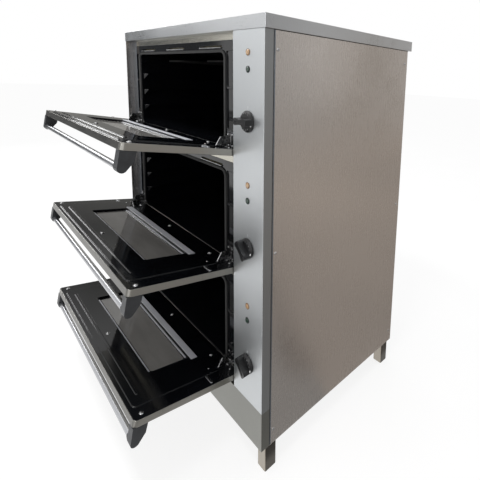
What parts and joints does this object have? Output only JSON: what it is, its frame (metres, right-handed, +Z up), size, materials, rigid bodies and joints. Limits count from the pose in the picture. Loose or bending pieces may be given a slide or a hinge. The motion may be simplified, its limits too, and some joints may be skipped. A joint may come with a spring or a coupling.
{
  "type": "static electric oven",
  "caption": "Floor-standing electric baking oven with stacked enamel cavities behind drop-down glazed doors, a side control column and square-tube legs.",
  "frame": {"origin": "under the middle of the whole oven with its doors open, at the floor", "axes": "+Z up, +Y from the door side to the rear, +X to the right seen from the front"},
  "size_m": [1.02, 0.9658, 1.3475],
  "materials": {
    "stainless_top": "satin brushed stainless steel",
    "stainless_panel": "brushed stainless steel",
    "control_face": "fine brushed stainless steel",
    "galvanised": "galvanised sheet",
    "frame_steel": "ground stainless tube",
    "black_enamel": "glossy black enamel",
    "dark_glass": "dark tinted glass",
    "bright_aluminium": "satin aluminium",
    "dark_plastic": "moulded plastic",
    "knob_plastic": "moulded heat-resistant plastic",
    "zinc": "zinc plated",
    "seal_fibre": "braided glass fibre",
    "wool": "mineral wool",
    "element_steel": "heat-tinted steel tube",
    "amber_lens": "translucent lens",
    "green_lens": "translucent lens",
    "switch_body": "moulded resin"
  },
  "bodies": {
    "cabinet": {"worktop": "stainless_top", "left_side_panel": "stainless_panel", "right_side_panel": "stainless_panel", "back_panel": "galvanised", "base_panel": "galvanised", "control_panel": "control_face", "kick_panel": "stainless_panel", "legs": "frame_steel", "base_rails": "frame_steel", "frame_posts": "galvanised", "top_rails": "galvanised", "deck_bars": "galvanised", "spacer_bands": "stainless_panel", "insulation_blankets": "wool", "heating_elements": "element_steel", "door_seals": "seal_fibre", "hinge_sockets": "zinc", "thermostats": "switch_body", "amber_pilot_lamps": "amber_lens", "green_pilot_lamps": "green_lens", "panel_screws": "zinc", "cable_gland": "dark_plastic", "terminal_block": "switch_body", "oven_liner_1": "black_enamel", "front_frame_1": "black_enamel", "oven_liner_2": "black_enamel", "front_frame_2": "black_enamel", "oven_liner_3": "black_enamel", "front_frame_3": "black_enamel"},
    "door_1": {"door_skin_1": "stainless_panel", "door_inner_panel_1": "black_enamel", "outer_glass_1": "dark_glass", "inner_glass_1": "dark_glass", "door_trims_1": "bright_aluminium", "handle_tube_1": "bright_aluminium", "handle_brackets_1": "dark_plastic", "hinge_arms_1": "zinc"},
    "knob_1": {"knob_1": "knob_plastic", "knob_shaft_1": "zinc"},
    "door_2": {"door_skin_2": "stainless_panel", "door_inner_panel_2": "black_enamel", "outer_glass_2": "dark_glass", "inner_glass_2": "dark_glass", "door_trims_2": "bright_aluminium", "handle_tube_2": "bright_aluminium", "handle_brackets_2": "dark_plastic", "hinge_arms_2": "zinc"},
    "knob_2": {"knob_2": "knob_plastic", "knob_shaft_2": "zinc"},
    "door_3": {"door_skin_3": "stainless_panel", "door_inner_panel_3": "black_enamel", "outer_glass_3": "dark_glass", "inner_glass_3": "dark_glass", "door_trims_3": "bright_aluminium", "handle_tube_3": "bright_aluminium", "handle_brackets_3": "dark_plastic", "hinge_arms_3": "zinc"},
    "knob_3": {"knob_3": "knob_plastic", "knob_shaft_3": "zinc"}
  },
  "joints": [
    {"name": "door_1_hinge", "type": "hinge", "parent": "cabinet", "child": "door_1", "pos_m": [-0.075, -0.17957, 0.2362], "axis": [-1, 0, 0], "range_deg": [0, 80]},
    {"name": "door_2_hinge", "type": "hinge", "parent": "cabinet", "child": "door_2", "pos_m": [-0.075, -0.17957, 0.6022], "axis": [-1, 0, 0], "range_deg": [0, 80]},
    {"name": "door_3_hinge", "type": "hinge", "parent": "cabinet", "child": "door_3", "pos_m": [-0.075, -0.17957, 0.9682], "axis": [-1, 0, 0], "range_deg": [0, 80]},
    {"name": "knob_1_turn", "type": "hinge", "parent": "cabinet", "child": "knob_1", "pos_m": [0.431, -0.19357, 0.3335], "axis": [0, 1, 0], "range_deg": [-135, 135]},
    {"name": "knob_2_turn", "type": "hinge", "parent": "cabinet", "child": "knob_2", "pos_m": [0.431, -0.19357, 0.6995], "axis": [0, 1, 0], "range_deg": [-135, 135]},
    {"name": "knob_3_turn", "type": "hinge", "parent": "cabinet", "child": "knob_3", "pos_m": [0.431, -0.19357, 1.0655], "axis": [0, 1, 0], "range_deg": [-90, 180]}
  ]
}
